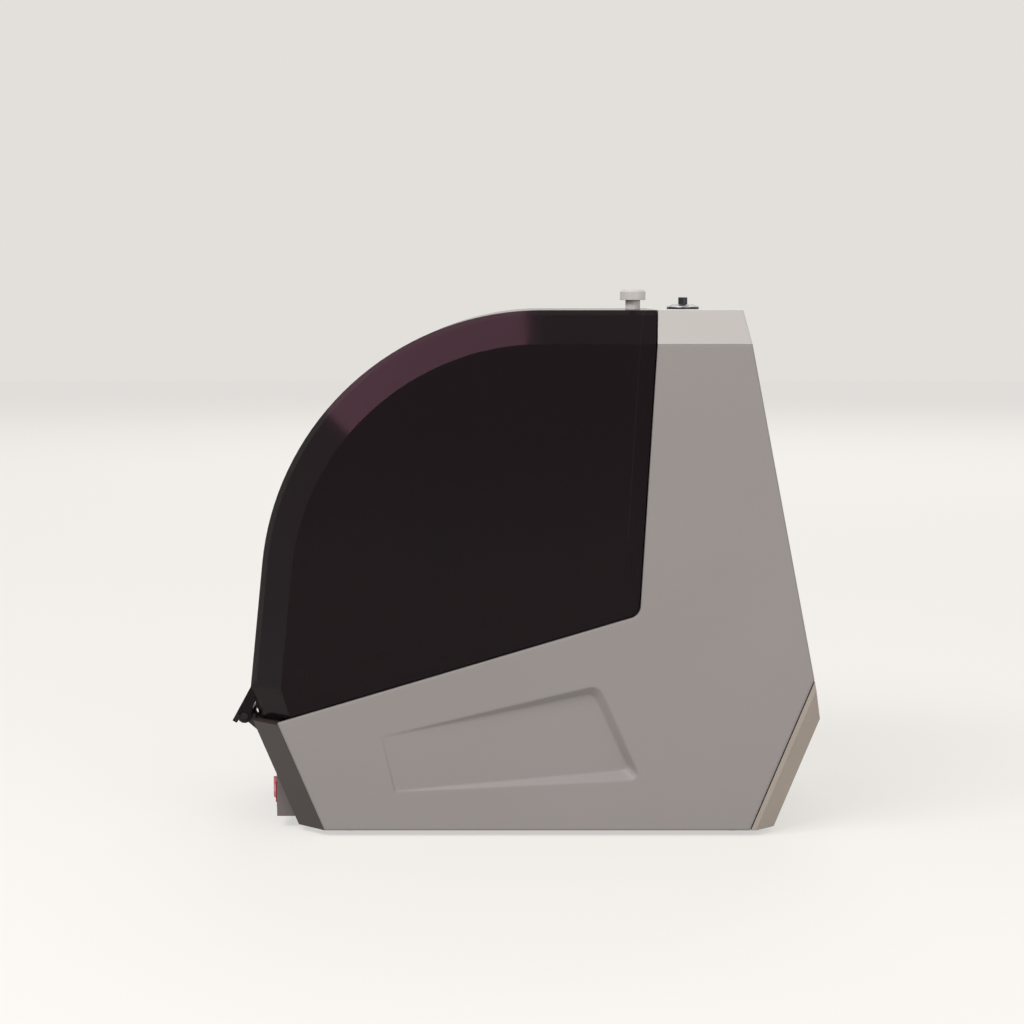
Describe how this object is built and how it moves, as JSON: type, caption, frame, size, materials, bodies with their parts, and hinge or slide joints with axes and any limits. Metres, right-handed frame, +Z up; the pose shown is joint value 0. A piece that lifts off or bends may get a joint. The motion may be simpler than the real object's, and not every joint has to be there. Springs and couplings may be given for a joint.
{
  "type": "filament dryer box",
  "caption": "Wedge-shaped filament dryer box with a front tower, tapered side recesses and a smoked bevelled lid hinged at the back over a heated spool well with rollers.",
  "frame": {"origin": "on the floor, below the middle of the box's overall size", "axes": "+X to the front (display), +Z up, +Y to the box's own left when seen from its front"},
  "size_m": [0.2938, 0.172, 0.27],
  "materials": {
    "cover_grey": "fine satin grain",
    "cap_grey": "satin",
    "lower_grey": "satin",
    "back_grey": "satin",
    "pod_grey": "satin",
    "front_black": "polished",
    "base_black": "moulded",
    "tub_grey": "moulded",
    "foot_rubber": "matte",
    "seal_rubber": "matte",
    "lid_smoke": "polished, smoked, see-through",
    "knob_white": "satin",
    "lens_black": "polished",
    "module_grey": "plain",
    "board_green": "solder mask",
    "outlet_black": "satin",
    "tube_white": "waxy",
    "bush_white": "plain",
    "wheel_black": "plain",
    "inlet_black": "plain",
    "pin_brass": "plain",
    "rocker_red": "polished",
    "fan_black": "plain",
    "heater_alloy": "extruded",
    "steel": "turned"
  },
  "bodies": {
    "housing": {"back_panel": "back_grey", "base_screws": "steel", "base_tray": "base_black", "chamber_tub": "tub_grey", "control_board": "board_green", "display_lens": "lens_black", "display_module": "module_grey", "fan_frame": "fan_black", "front_lower_panel": "lower_grey", "front_panel": "front_black", "guide_tube": "tube_white", "heater_core": "heater_alloy", "heater_frame": "inlet_black", "hinge_ear_left": "back_grey", "hinge_ear_right": "back_grey", "hinge_pin": "steel", "humidity_sensor": "bush_white", "inlet_pins": "pin_brass", "mains_inlet": "inlet_black", "outlet_fitting": "outlet_black", "outlet_nut": "outlet_black", "power_board": "board_green", "power_board_parts": "module_grey", "power_pod": "pod_grey", "rim_seal": "seal_rubber", "roller_bushes": "bush_white", "rubber_feet": "foot_rubber", "side_cover_left": "cover_grey", "side_cover_right": "cover_grey", "switch_frame": "inlet_black", "tower_cap": "cap_grey", "tower_liner": "tub_grey"},
    "lid": {"lid_shell": "lid_smoke", "lid_knob": "knob_white", "knob_screw": "steel"},
    "rear_roller": {"rear_roller_shaft": "steel", "rear_roller_wheels": "wheel_black", "rear_roller_tyres": "seal_rubber"},
    "front_roller": {"front_roller_shaft": "steel", "front_roller_wheels": "wheel_black", "front_roller_tyres": "seal_rubber"},
    "fan": {"fan_rotor": "fan_black"},
    "rocker": {"switch_rocker": "rocker_red"}
  },
  "joints": [
    {"name": "lid_hinge", "type": "hinge", "parent": "housing", "child": "lid", "pos_m": [-0.1408, 0, 0.0572], "axis": [0, -1, 0], "range_deg": [0, 100]},
    {"name": "rear_roller_spin", "type": "hinge", "parent": "housing", "child": "rear_roller", "pos_m": [-0.0699, 0, 0.0546], "axis": [0, 1, 0], "continuous": true},
    {"name": "front_roller_spin", "type": "hinge", "parent": "housing", "child": "front_roller", "pos_m": [0.0501, 0, 0.0546], "axis": [0, 1, 0], "continuous": true},
    {"name": "fan_spin", "type": "hinge", "parent": "housing", "child": "fan", "pos_m": [0.01, 0.0583, 0.052], "axis": [0, 1, 0], "continuous": true},
    {"name": "power_rocker", "type": "hinge", "parent": "housing", "child": "rocker", "pos_m": [-0.1221, -0.052, 0.017], "axis": [0, 0, -1], "range_deg": [0, 20]}
  ]
}
